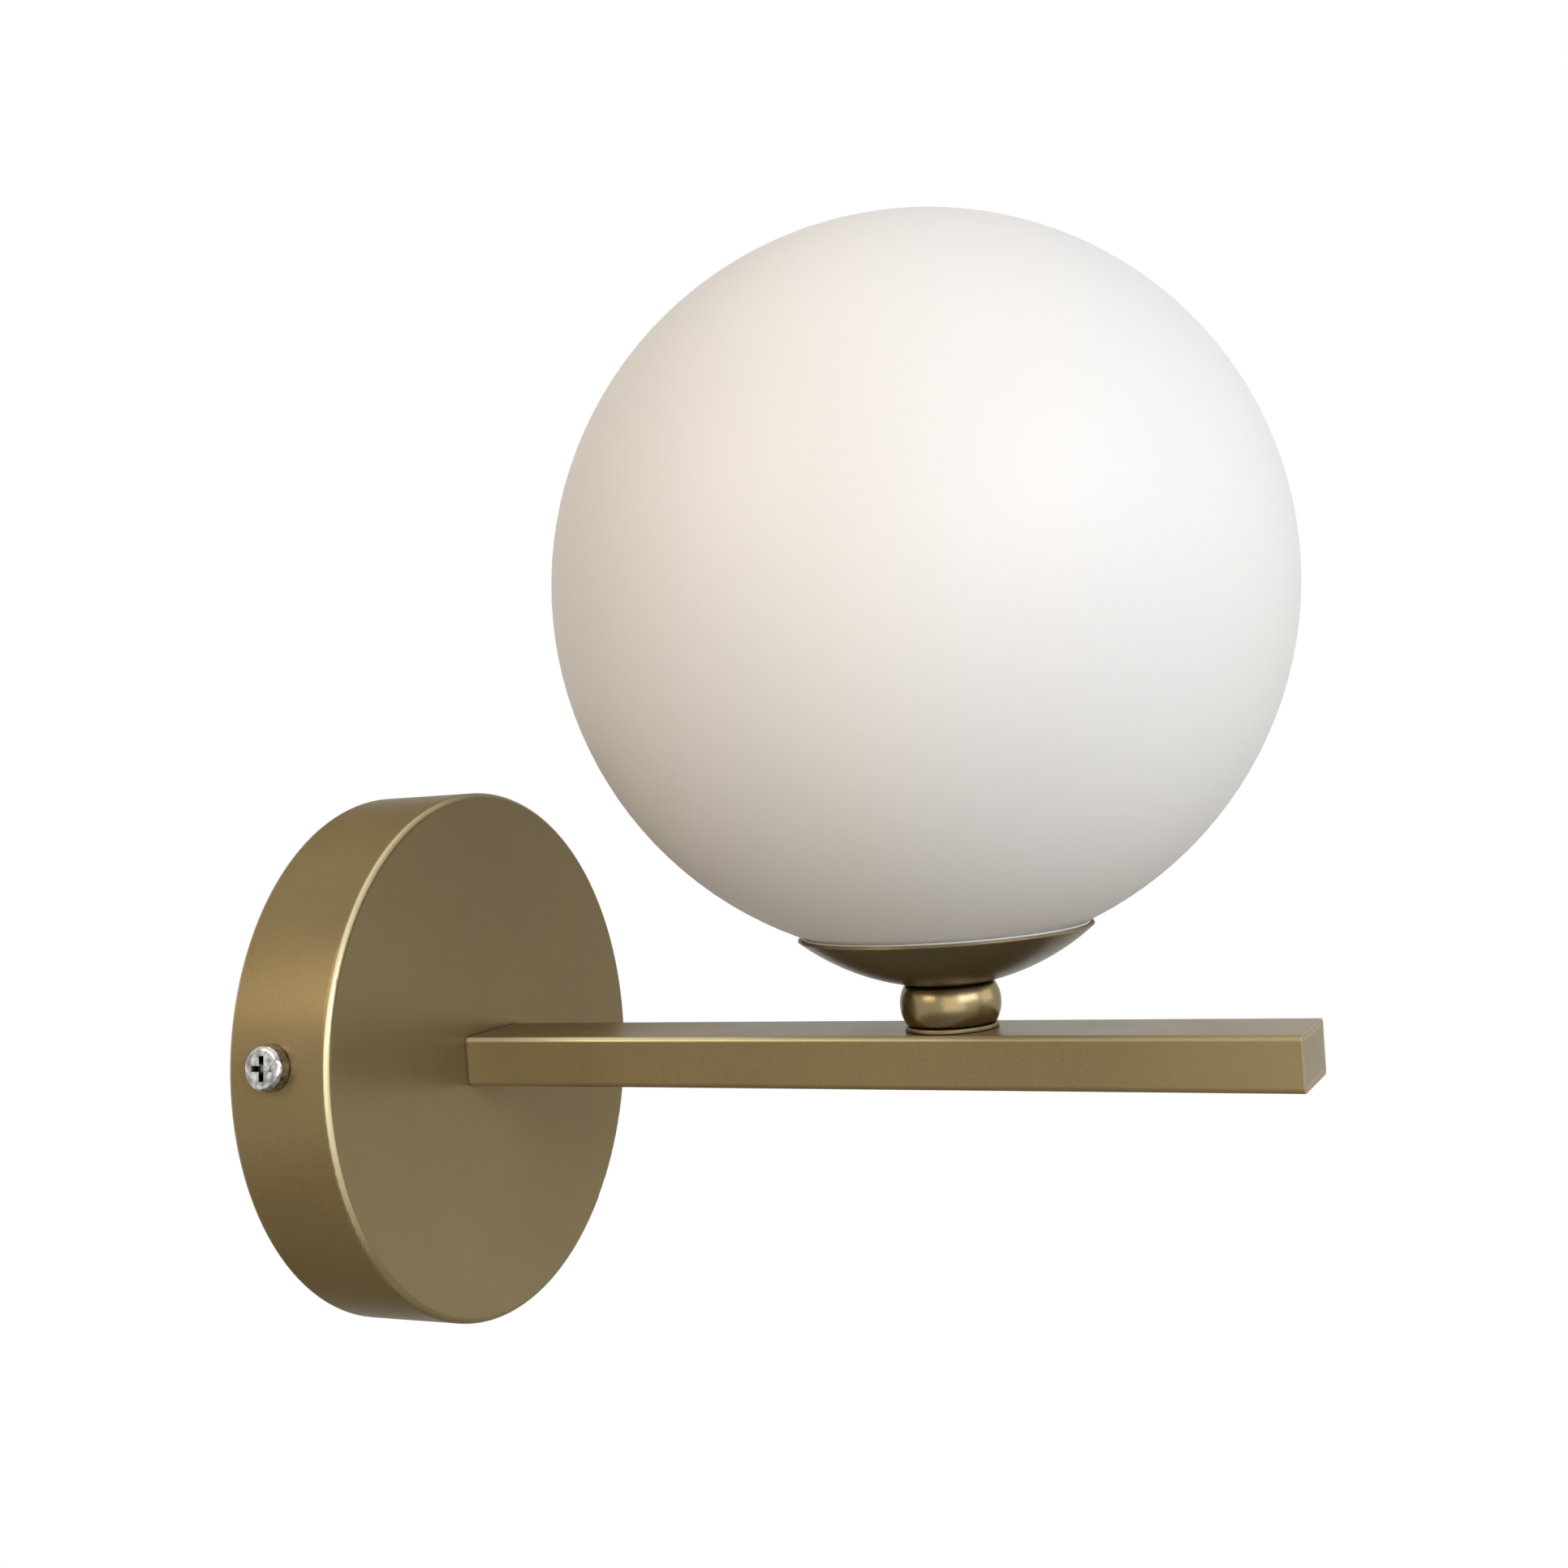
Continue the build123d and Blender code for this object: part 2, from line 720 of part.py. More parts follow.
def holder_saddle():
    inner, outer = saddle_inner_half_span, saddle_inner_half_span + saddle_sheet
    top = holder_seat - saddle_sheet
    base = ring_z(saddle_base_radius, nipple_radius + slip_gap, cage_top, saddle_base_top)
    cross = block((-outer, -saddle_half_width, cage_top), (outer, saddle_half_width, saddle_base_top))
    base += cross - rod(nipple_radius + slip_gap, (0, 0, 0), (0, 0, holder_seat))
    for side in (-1, 1):
        near, far = sorted((side * inner, side * outer))
        base += block((near, -saddle_half_width, cage_top), (far, saddle_half_width, holder_seat))
        near, far = sorted((side * inner, side * (outer + saddle_tab_length - saddle_sheet)))
        base += block((near, -saddle_half_width, top), (far, saddle_half_width, holder_seat))
        x = side * holder_screw_offset
        base -= rod(holder_screw_radius + thread_gap, (x, 0, top - saddle_sheet), (x, 0, holder_seat))
    return on_stem(base)


def cup_lock_washer():
    bore = nipple_radius + slip_gap
    return on_stem(ring_z(large_lock_washer_radius, bore, saddle_base_top, cup_washer_top))


def cup_nut():
    return on_stem(hex_nut(cup_nut_flats, nipple_radius + thread_gap, cup_washer_top, cup_nut_top))


def nipple_bushing():
    outside = nipple_bore_radius - fit_gap
    inside = outside - nipple_bushing_wall
    profile = outline(
        (inside, cup_washer_top),
        (outside, cup_washer_top),
        (outside, nipple_top),
        (nipple_bushing_flange_radius, nipple_top),
        (nipple_bushing_flange_radius, bushing_top),
        (inside, bushing_top),
    )
    return on_stem(lathe_z(profile))


# ------------------------------------------------------------------ lampholder
def lampholder_body():
    foot = RectangleRounded(holder_foot_length, holder_foot_width, holder_corner_radius)
    upper = RectangleRounded(holder_body_length, holder_body_width, holder_corner_radius)
    body = Pos(0, 0, holder_seat) * extrude(foot, holder_foot_height)
    body += Pos(0, 0, holder_seat) * extrude(upper, holder_height)
    pocket_top = holder_top - holder_roof
    for side in (-1, 1):
        x = side * pin_spacing / 2
        low = (x - pocket_length / 2, -pocket_width / 2, holder_seat)
        high = (x + pocket_length / 2, pocket_width / 2, pocket_top)
        body -= block(low, high)
        low = (x - pin_slot_length / 2, -pin_slot_width / 2, pocket_top)
        high = (x + pin_slot_length / 2, pin_slot_width / 2, holder_top)
        body -= block(low, high)
        x = side * holder_screw_offset
        start, end = (x, 0, holder_seat), (x, 0, holder_seat + holder_foot_height)
        body -= rod(holder_screw_radius + slip_gap, start, end)
    return on_stem(body)


def holder_screws():
    screws = []
    for side in (-1, 1):
        screw = pan_screw(
            holder_screw_radius, holder_screw_length, holder_screw_head_radius, holder_screw_head_height
        )
        seat = holder_seat + holder_foot_height
        screws.append(on_stem(Pos(side * holder_screw_offset, 0, seat) * screw))
    return Compound(children=screws)


def lampholder_contacts():
    contacts = []
    leaf_in = bulb_pin_wire_radius + fit_gap
    leaf_out = leaf_in + contact_sheet
    for side in (-1, 1):
        x = side * pin_spacing / 2
        near, far = x - contact_width / 2, x + contact_width / 2
        foot_top_z = contact_foot + contact_sheet
        contact = block((near, -leaf_out, contact_foot), (far, leaf_out, foot_top_z))
        leaf_top = foot_top_z + contact_leaf_height
        contact += block((near, leaf_in, contact_foot), (far, leaf_out, leaf_top))
        contact += block((near, -leaf_out, contact_foot), (far, -leaf_in, leaf_top))
        crimp_start, crimp_end = (x, 0, holder_seat), (x, 0, contact_foot)
        crimp_outer = lead_radius + fit_gap + contact_sheet
        contact += tube(crimp_outer, lead_radius + fit_gap, crimp_start, crimp_end)
        contacts.append(on_stem(contact))
    return Compound(children=contacts)


# ------------------------------------------------------------------ bulb
def bulb_pins():
    pins = []
    half = bulb_pin_legs / 2
    tip = bulb_seat - bulb_pin_length + bulb_pin_wire_radius
    for side in (-1, 1):
        x = side * pin_spacing / 2
        start = (x - half, 0, bulb_seat)
        bend = (x - half, 0, tip + half)
        path = Polyline(start, bend) + ThreePointArc(bend, (x, 0, tip), (x + half, 0, tip + half))
        path += Line((x + half, 0, tip + half), (x + half, 0, bulb_seat))
        section = Plane(origin=start, z_dir=(0, 0, -1)) * Circle(bulb_pin_wire_radius)
        pins.append(on_stem(sweep(section, path)))
    return Compound(children=pins)


def bulb_base():
    base = Pos(0, 0, bulb_seat) * extrude(Circle(bulb_base_radius), bulb_base_height)
    return on_stem(fillet(base.edges().group_by(Axis.Z)[0], bulb_base_edge_radius))


def bulb_envelope():
    foot, inside = bulb_envelope_foot, bulb_radius - bulb_envelope_wall
    dome = foot + bulb_height - bulb_radius
    shell = ring_z(bulb_radius, inside, foot, dome)
    width = 2 * bulb_radius
    lower_half = Pos(0, 0, -bulb_radius) * Box(width, width, width)
    shell += Pos(0, 0, dome) * (Sphere(bulb_radius) - Sphere(inside) - lower_half)
    return on_stem(shell)


def bulb_core():
    section = RegularPolygon(bulb_core_radius, hex_sides)
    return on_stem(Pos(0, 0, bulb_envelope_foot) * extrude(section, bulb_core_height))


# ------------------------------------------------------------------ globe
def globe():
    ball = Sphere(globe_radius) - Sphere(globe_radius - globe_wall)
    ball -= rod(globe_hole_radius, (0, 0, 0), (0, 0, -globe_radius))
    return on_stem(Pos(0, 0, globe_centre) * ball)


def globe_collar():
    tube_radius = globe_hole_radius - bond_gap
    edge = glass_height(globe_hole_radius)
    rim = glass_height(collar_flange_radius) - bond_gap
    foot = edge - bond_gap - collar_foot
    profile = outline(
        (collar_bore_radius, foot),
        (tube_radius, foot),
        (collar_flange_radius, rim - collar_flange_thickness),
        (collar_flange_radius, rim),
        (tube_radius, glass_height(tube_radius) - bond_gap),
        (tube_radius, edge + collar_rise),
        (collar_bore_radius, edge + collar_rise),
    )
    return on_stem(lathe_z(profile))


# ------------------------------------------------------------------ leads
def lamp_lead(name, way, side):
    """A lead from a terminal way, through the arm and the stem, to a lampholder contact."""
    x_way = way_places()[way]
    offset = side * lead_pair_offset
    clamp_end = block_top - clamp_length / 2
    plug_end = arm_root - root_plug_length
    points = [
        bracket_point(x_way, way_axis_y, clamp_end),
        bracket_point(x_way, way_axis_y, block_top + lead_rise),
        (offset + side * fit_gap, plate_front + lead_approach, -lead_floor_drop / 2),
        (offset, plate_front - lead_lean, 0),
        (offset, plug_end - lead_lean, 0),
        (offset + side * lead_spread / 2, plug_end - 3 * lead_lean, -lead_floor_drop),
        (offset + side * lead_spread, (plug_end - stem_reach) / 2, -lead_floor_drop - fit_gap),
        (offset + side * slip_gap, lead_lean * 3 - stem_reach, -lead_floor_drop),
        (offset, -stem_reach, -lead_floor_drop),
        (offset, -stem_reach, nipple_bottom + lead_lean),
        (offset + side * slip_gap, -stem_reach, bushing_top - nipple_bushing_flange_thickness),
        (side * pin_spacing / 2, -stem_reach, holder_seat - nipple_bushing_flange_thickness),
        (side * pin_spacing / 2, -stem_reach, contact_foot - rest_gap),
    ]
    return lead(name, points)


def earth_lead():
    x_way = way_places()[-1]
    barrel_end = earth_tag_radius + earth_crimp_length
    points = [
        bracket_point(x_way, way_axis_y, block_top - clamp_length / 2),
        bracket_point(x_way, way_axis_y, block_top + lead_rise),
        crimp_point(barrel_end + earth_crimp_length),
        crimp_point(earth_tag_radius + rest_gap),
    ]
    return lead("earth_lead", points)


nodes = {
    "wall_bracket": wall_bracket(),
    "bracket_weld_nuts": weld_nuts(),
    "cable_grommet": cable_grommet(),
    "terminal_block": terminal_block(),
    "terminal_clamps": terminal_clamps(),
    "terminal_clamp_screws": terminal_clamp_screws(),
    "terminal_fixing_screw": terminal_fixing_screw(),
    "earth_screw": earth_screw(),
    "earth_ring_tag": earth_ring_tag(),
    "canopy": canopy(),
    "side_screw_left": side_screw(-1),
    "side_screw_right": side_screw(1),
    "arm_backing_plate": arm_backing_plate(),
    "arm_tube": arm_tube(),
    "arm_end_cap": arm_end_cap(),
    "arm_root_plug": arm_root_plug(),
    "arm_screws": arm_screws(),
    "arm_lock_washers": arm_lock_washers(),
    "root_bushing": root_bushing(),
    "stem_nipple": stem_nipple(),
    "stem_nut": stem_nut(),
    "foot_ring": foot_ring(),
    "bead": bead(),
    "cup": cup(),
    "cup_gasket": cup_gasket(),
    "spring_cage": spring_cage(),
    "holder_saddle": holder_saddle(),
    "cup_lock_washer": cup_lock_washer(),
    "cup_nut": cup_nut(),
    "nipple_bushing": nipple_bushing(),
    "lampholder_body": lampholder_body(),
    "lampholder_contacts": lampholder_contacts(),
    "holder_screws": holder_screws(),
    "live_lead": lamp_lead("live_lead", 0, -1),
    "neutral_lead": lamp_lead("neutral_lead", 1, 1),
    "earth_lead": earth_lead(),
    "globe": globe(),
    "globe_collar": globe_collar(),
    "bulb_envelope": bulb_envelope(),
    "bulb_core": bulb_core(),
    "bulb_base": bulb_base(),
    "bulb_pins": bulb_pins(),
}

os.makedirs("parts", exist_ok=True)
for name, shape in nodes.items():
    export_step(shape, f"parts/{name}.step")
print(len(nodes), "nodes written")
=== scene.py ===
import json
from math import cos, radians, sin

import bpy
from mathutils import Matrix, Vector


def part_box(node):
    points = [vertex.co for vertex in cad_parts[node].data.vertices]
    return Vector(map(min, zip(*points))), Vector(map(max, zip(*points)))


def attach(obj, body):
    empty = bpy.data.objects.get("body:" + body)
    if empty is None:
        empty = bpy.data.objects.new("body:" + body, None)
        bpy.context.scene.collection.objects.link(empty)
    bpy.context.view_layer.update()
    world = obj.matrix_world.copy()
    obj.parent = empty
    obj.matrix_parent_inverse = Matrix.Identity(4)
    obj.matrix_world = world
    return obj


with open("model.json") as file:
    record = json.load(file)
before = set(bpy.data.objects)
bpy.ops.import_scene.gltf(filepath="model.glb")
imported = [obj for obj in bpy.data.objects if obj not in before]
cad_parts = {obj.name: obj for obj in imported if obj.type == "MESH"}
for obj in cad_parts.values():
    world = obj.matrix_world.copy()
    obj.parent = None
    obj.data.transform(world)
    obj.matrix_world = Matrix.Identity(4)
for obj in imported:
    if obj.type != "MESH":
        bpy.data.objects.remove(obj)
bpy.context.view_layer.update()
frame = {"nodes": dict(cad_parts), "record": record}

# Globe wall sconce: satin antique-gold wall plate, flat arm, bead and cup, and a satin opal glass globe.
# All places are in metres, in the frame of the part: the wall is the plane y = 0, and +Z is up.


def colour(red, green, blue):
    """An opaque colour, in linear red, green and blue."""
    return (red, green, blue, 1.0)


# Camera, as the photograph was taken
photo_width = 1932               # pixels, and as many high
focal_pixels = 2414.1
sensor_width = 36.0              # millimetres
camera_azimuth = radians(-64.6)  # 0 looks along +Y
camera_elevation = radians(1.06)
camera_roll = radians(-4.15)
camera_place = Vector((-0.37496, -0.28143, 0.06526))
nearest_seen = 0.01
farthest_seen = 20.0

# Gasket lip, on the cup's rim: a pale ring that also serves as a painted highlight along the rim
stem_reach = 0.1375
lip_radius = 0.0292
lip_thickness = 0.00052
lip_height = 0.02594
lip_segments = 192
lip_section_segments = 16

# Satin gold lacquer: its tones, which the shade of a piece scales. The pale tone is painted light, and the
# worn tone is wear with a painted highlight
gold_dark = (0.178, 0.134, 0.062)
gold_light = (0.205, 0.155, 0.072)
gold_grain = (0.250, 0.196, 0.102)
gold_painted_light = (0.320, 0.246, 0.122)
gold_worn_and_highlight = (0.380, 0.310, 0.180)

# Satin gold lacquer: the same on every piece. The highlight colour is a painted highlight, and the crease
# colour is painted shade
gold_painted_highlight = colour(0.80, 0.72, 0.44)
gold_painted_shade = colour(0.060, 0.044, 0.020)
gold_sheen = colour(0.36, 0.31, 0.24)
gold_specular = 0.25
gold_coat = 0.06
grain_share = 0.35

# Wear and painted light: how far the worn edge with its painted highlight and the painted shade in a crease
# reach, and where the measure of each starts and ends
edge_reach = 0.0009
edge_samples = 6
edge_turn = (0.86, 0.985)
crease_reach = 0.0016
crease_samples = 8
crease_openness = (0.35, 0.75)

# Where the finish of the wall plate changes, and where a highlight is painted on its rim: the start and end
# of each change
rim_radius = (0.0589, 0.0592)
rim_depth = (-0.0242, -0.0239)
rim_left_to_right = (-0.048, 0.0)
rim_below_to_above = (-0.034, -0.010)
plate_face_to_side = (-0.0248, -0.0240)
rim_right_share = 0.15
rim_below_share = 0.10
plate_side_gloss = 0.08

# Where the finish of the arm changes, and where a highlight and light are painted on it: the start and end
# of each change
arm_upper_edge = (0.0044, 0.0048)
arm_left_edge = (-0.0104, -0.0100)
arm_middle_to_plate = (-0.150, -0.050)
arm_root = (-0.055, -0.026)
arm_free_end = (-0.212, -0.165)
arm_end_face_to_sides = (-0.2098, -0.2094)
arm_middle_share = 0.20
arm_free_end_share = 0.5
arm_end_face_gloss = 0.55

# Floor
floor_height = -0.30
floor_radius = 0.86
floor_corners = 96
floor_fade = (0.55, 0.84)        # from the middle of the floor, where it starts and ends to fade

# Light: a white backdrop, a low level from all round, and soft boxes that face the globe.
# The direction of a soft box is in degrees, its distance and sides in metres, and its power in watts.
white = colour(1.0, 1.0, 1.0)
backdrop_strength = 1.0
ambient_strength = 0.06
soft_boxes = {
    "key_box": dict(
        azimuth=-26.0, elevation=17.5, distance=1.05,
        width=0.85, height=0.40, power=6.9, tint=(0.78, 0.83, 0.94),
    ),
    "fill_box": dict(
        azimuth=-62.0, elevation=3.0, distance=1.30,
        width=1.20, height=1.20, power=6.4, tint=(1.00, 0.95, 0.85),
    ),
    "right_box": dict(
        azimuth=25.0, elevation=14.0, distance=1.30,
        width=0.80, height=0.80, power=3.2, tint=(1.00, 0.93, 0.70),
    ),
    "top_box": dict(
        azimuth=180.0, elevation=74.0, distance=1.00,
        width=0.80, height=0.60, power=1.5, tint=(0.98, 0.98, 0.97),
    ),
    "side_box": dict(
        azimuth=-122.0, elevation=26.0, distance=1.10,
        width=0.50, height=0.50, power=4.3, tint=(1.00, 0.81, 0.61),
    ),
}


# ------------------------------------------------------------------ node helpers
class Finish:
    """A procedural material: its shader is one principled node, fed by textures in the part's own space."""

    def __init__(self, name, **settings):
        self.material = bpy.data.materials.new(name)
        self.material.use_nodes = True
        self.tree = self.material.node_tree
        self.tree.nodes.clear()
        self.output = self.add("ShaderNodeOutputMaterial")
        self.shader = self.add("ShaderNodeBsdfPrincipled")
        self.join(self.shader.outputs["BSDF"], self.output.inputs["Surface"])
        self.place = self.add("ShaderNodeTexCoord").outputs["Object"]
        for socket, value in settings.items():
            self.shader.inputs[socket.replace("_", " ")].default_value = value

    def add(self, kind, values=None, **properties):
        node = self.tree.nodes.new(kind)
        for key, value in properties.items():
            setattr(node, key, value)
        for key, value in (values or {}).items():
            node.inputs[key].default_value = value
        return node

    def join(self, start, end):
        self.tree.links.new(start, end)

    def stretched(self, x, y, z):
        """The part's own space, scaled along each axis: for streaks, or for a distance across an axis."""
        mapping = self.add("ShaderNodeMapping", {"Scale": (x, y, z)})
        self.join(self.place, mapping.inputs["Vector"])
        return mapping.outputs["Vector"]

    def noise(self, scale, detail=2.0, roughness=0.5, space=None):
        """Soft noise: its scale is about how many waves it has in a metre."""
        node = self.add("ShaderNodeTexNoise", {"Scale": scale, "Detail": detail, "Roughness": roughness})
        self.join(space or self.place, node.inputs["Vector"])
        return node.outputs["Fac"]

    def blend(self, factor, first, second):
        """A colour between two, each a colour or a socket, by a factor that a texture gives."""
        node = self.add("ShaderNodeMix", data_type="RGBA")
        self.join(factor, node.inputs["Factor"])
        for socket, value in (("A", first), ("B", second)):
            target = [s for s in node.inputs if s.name == socket and s.type == "RGBA"][0]
            if isinstance(value, bpy.types.NodeSocket):
                self.join(value, target)
            else:
                target.default_value = value
        return [s for s in node.outputs if s.type == "RGBA"][0]

    def spread(self, factor, low, high, start=0.3, end=0.7):
        """A number that goes from low to high as the factor goes from start to end."""
        node = self.add(
            "ShaderNodeMapRange", {"From Min": start, "From Max": end, "To Min": low, "To Max": high}
        )
        self.join(factor, node.inputs["Value"])
        return node.outputs["Result"]

    def ramp(self, axis, span, low, high):
        """A number that goes from low to high over a span of the part's X, Y or Z."""
        parts = self.add("ShaderNodeSeparateXYZ")
        self.join(self.place, parts.inputs["Vector"])
        return self.spread(parts.outputs[axis], low, high, *span)

    def distance(self, space):
        """How far a place in the given space lies from its origin."""
        node = self.add("ShaderNodeVectorMath", operation="LENGTH")
        self.join(space, node.inputs[0])
        return node.outputs["Value"]

    def combine(self, operation, *numbers):
        """One number from several: their product with MULTIPLY, or the largest of them with MAXIMUM."""
        result = numbers[0]
        for number in numbers[1:]:
            node = self.add("ShaderNodeMath", operation=operation)
            self.join(result, node.inputs[0])
            self.join(number, node.inputs[1])
            result = node.outputs["Value"]
        return result

    def painted_crease_shade(self):
        """0 in tight corners, where shade is painted into the colour, and 1 in the open."""
        node = self.add("ShaderNodeAmbientOcclusion", {"Distance": crease_reach}, samples=crease_samples)
        return self.spread(node.outputs["AO"], 0.0, 1.0, *crease_openness)

    def edges(self):
        """1 along each edge, where the finish is worn and a highlight is painted, and 0 on open faces."""
        bevel = self.add("ShaderNodeBevel", {"Radius": edge_reach}, samples=edge_samples)
        shape = self.add("ShaderNodeNewGeometry")
        match = self.add("ShaderNodeVectorMath", operation="DOT_PRODUCT")
        self.join(bevel.outputs["Normal"], match.inputs[0])
        self.join(shape.outputs["Normal"], match.inputs[1])
        return self.spread(match.outputs["Value"], 1.0, 0.0, *edge_turn)

    def colour_from(self, socket):
        self.join(socket, self.shader.inputs["Base Color"])

    def uneven_roughness(self, scale, smooth, rough, detail=2.0):
        """A roughness that drifts between two values."""
        roughness = self.spread(self.noise(scale, detail), smooth, rough)
        self.join(roughness, self.shader.inputs["Roughness"])

    def bump(self, height, depth, strength):
        """Fine relief from a texture, on top of the relief before it. The depth is in metres."""
        node = self.add("ShaderNodeBump", {"Distance": depth, "Strength": strength})
        self.join(height, node.inputs["Height"])
        normal = self.shader.inputs["Normal"]
        if normal.is_linked:
            self.join(normal.links[0].from_socket, node.inputs["Normal"])
        self.join(node.outputs["Normal"], normal)


# ------------------------------------------------------------------ where the satin gold changes, and where a highlight and light are painted on it
def plate_rim_painted_highlight(finish):
    """1 on the rounded front rim of the wall plate, where a highlight is painted, and most at its upper
    left.
    """
    outer = finish.spread(finish.distance(finish.stretched(1.0, 0.0, 1.0)), 0.0, 1.0, *rim_radius)
    front = finish.ramp("Y", rim_depth, 1.0, 0.0)
    left = finish.ramp("X", rim_left_to_right, 1.0, rim_right_share)
    above = finish.ramp("Z", rim_below_to_above, rim_below_share, 1.0)
    return finish.combine("MULTIPLY", outer, front, left, above)


def plate_gloss(finish):
    """The gloss of the wall plate: 1 on its face, and little on its duller side."""
    return finish.ramp("Y", plate_face_to_side, 1.0, plate_side_gloss)


def arm_edge_painted_highlight(finish):
    """1 on the rounded upper left edge of the arm, where a highlight is painted, and most near the wall
    plate.
    """
    upper = finish.ramp("Z", arm_upper_edge, 0.0, 1.0)
    left = finish.ramp("X", arm_left_edge, 1.0, 0.0)
    near = finish.ramp("Y", arm_middle_to_plate, arm_middle_share, 1.0)
    return finish.combine("MULTIPLY", upper, left, near)


def arm_sides(finish, on_end_face):
    """1 along the arm, and the given number on its end face."""
    return finish.ramp("Y", arm_end_face_to_sides, on_end_face, 1.0)


def arm_ends_painted_light(finish):
    """How much light is painted on the arm's sides near its ends, to make them lighter: most at the wall
    plate, and 0 along its middle.
    """
    root = finish.ramp("Y", arm_root, 0.0, 1.0)
    free = finish.ramp("Y", arm_free_end, arm_free_end_share, 0.0)
    return finish.combine("MULTIPLY", finish.combine("MAXIMUM", root, free), arm_sides(finish, 0.0))


def arm_gloss(finish):
    """The gloss of the arm: 0 at the wall plate, 1 from its middle outwards, and less on its end face."""
    grown = finish.ramp("Y", arm_middle_to_plate, 1.0, 0.0)
    return finish.combine("MULTIPLY", grown, arm_sides(finish, arm_end_face_gloss))


# ------------------------------------------------------------------ finishes
def gold_colour(finish, shade, painted_highlight, painted_light):
    """The lacquer's colour: mottled and grained, worn and lighter at each edge as wear and a painted
    highlight, with painted light and a painted highlight where a piece asks, and dark in tight corners as
    painted shade.
    """
    dark, light, grained, pale, worn = [
        colour(*(shade * part for part in tone))
        for tone in (gold_dark, gold_light, gold_grain, gold_painted_light, gold_worn_and_highlight)
    ]
    mottle = finish.spread(finish.noise(26.0, detail=4.0, roughness=0.6), 0.0, 1.0)
    grain = finish.spread(finish.noise(2600.0, detail=1.0), 0.0, grain_share)
    tone = finish.blend(mottle, dark, light)
    tone = finish.blend(grain, tone, grained)
    # Painted light: lighter where the piece asks
    if painted_light:
        tone = finish.blend(painted_light(finish), tone, pale)
    # Wear along each edge, lighter also as a painted highlight
    tone = finish.blend(finish.edges(), tone, worn)
    # Painted highlight, where the piece asks for one
    if painted_highlight:
        tone = finish.blend(painted_highlight(finish), tone, gold_painted_highlight)
    # Painted shade: darker in tight corners
    return finish.blend(finish.painted_crease_shade(), gold_painted_shade, tone)


def satin_gold(name, shade=1.0, smooth=0.28, rough=0.36, painted_highlight=None, painted_light=None, gloss=None, **settings):
    """Sprayed metallic lacquer: antique gold, faintly mottled, with a fine orange-peel grain.

    The shade scales its tones. Painted highlight, painted light and gloss are functions that say where on a
    piece each holds.
    """
    usual = {
        "Metallic": 0.40,
        "Specular_Tint": gold_sheen,
        "Specular_IOR_Level": gold_specular,
        "Coat_Weight": gold_coat,
        "Coat_Roughness": 0.16,
    }
    finish = Finish(name, **{**usual, **settings})
    finish.colour_from(gold_colour(finish, shade, painted_highlight, painted_light))
    finish.uneven_roughness(55.0, smooth, rough, detail=3.0)
    if gloss:
        level = gloss(finish)
        for socket, most in (("Specular IOR Level", gold_specular), ("Coat Weight", gold_coat)):
            finish.join(finish.spread(level, 0.0, most, 0.0, 1.0), finish.shader.inputs[socket])
    finish.bump(finish.noise(1900.0), depth=0.00006, strength=0.22)
    finish.bump(finish.noise(160.0), depth=0.0002, strength=0.05)
    return finish.material


def opal_glass():
    """Mouth-blown opal glass, etched to a satin skin."""
    finish = Finish(
        "opal_glass",
        Roughness=0.55,
        IOR=1.45,
        Subsurface_Weight=0.12,
        Subsurface_Radius=(1.0, 0.85, 0.7),
        Subsurface_Scale=0.0015,
    )
    cloud = finish.spread(finish.noise(14.0, detail=3.0, roughness=0.55), 0.0, 1.0)
    finish.colour_from(finish.blend(cloud, colour(0.905, 0.890, 0.868), colour(0.925, 0.912, 0.893)))
    finish.bump(finish.noise(1400.0), depth=0.00003, strength=0.12)
    finish.bump(finish.noise(22.0, detail=1.0), depth=0.0004, strength=0.03)
    return finish.material


def chrome():
    """Bright chrome, mottled with wear, and darkened in its slots as painted shade."""
    finish = Finish("bright_chrome", Metallic=1.0)
    cloud = finish.spread(finish.noise(700.0, detail=3.0), 0.0, 1.0, start=0.38, end=0.64)
    plating = finish.blend(cloud, colour(0.25, 0.24, 0.23), colour(0.66, 0.65, 0.63))
    # Painted shade: darker in the slots and tight corners
    finish.colour_from(finish.blend(finish.painted_crease_shade(), colour(0.02, 0.018, 0.016), plating))
    finish.uneven_roughness(900.0, smooth=0.12, rough=0.24, detail=3.0)
    finish.bump(finish.noise(1500.0), depth=0.00003, strength=0.15)
    return finish.material


def zinc(name, dark, light, smooth, rough):
    """Zinc or bare spring steel, with fine rolling lines."""
    finish = Finish(name, Metallic=1.0)
    lines = finish.noise(1.0, detail=3.0, roughness=0.6, space=finish.stretched(80.0, 2200.0, 700.0))
    finish.colour_from(finish.blend(finish.spread(lines, 0.0, 1.0), dark, light))
    finish.uneven_roughness(300.0, smooth, rough, detail=3.0)
    finish.bump(lines, depth=0.00004, strength=0.2)
    return finish.material


def brass():
    """Plain turned brass, slightly uneven in tone."""
    finish = Finish("brass_metal", Metallic=1.0)
    cloud = finish.noise(220.0, detail=3.0)
    finish.colour_from(finish.blend(cloud, colour(0.62, 0.44, 0.16), colour(0.74, 0.56, 0.24)))
    finish.uneven_roughness(700.0, smooth=0.22, rough=0.34)
    finish.bump(finish.noise(1300.0), depth=0.00003, strength=0.2)
    return finish.material


def moulded(name, dark, light, smooth, rough, scale=350.0, **settings):
    """Moulded plastic, rubber or ceramic: a matte skin with fine pores."""
    finish = Finish(name, **settings)
    cloud = finish.spread(finish.noise(scale, detail=3.0), 0.0, 1.0)
    finish.colour_from(finish.blend(cloud, dark, light))
    finish.uneven_roughness(4.0 * scale, smooth, rough)
    finish.bump(finish.noise(5.0 * scale), depth=0.00004, strength=0.2)
    return finish.material


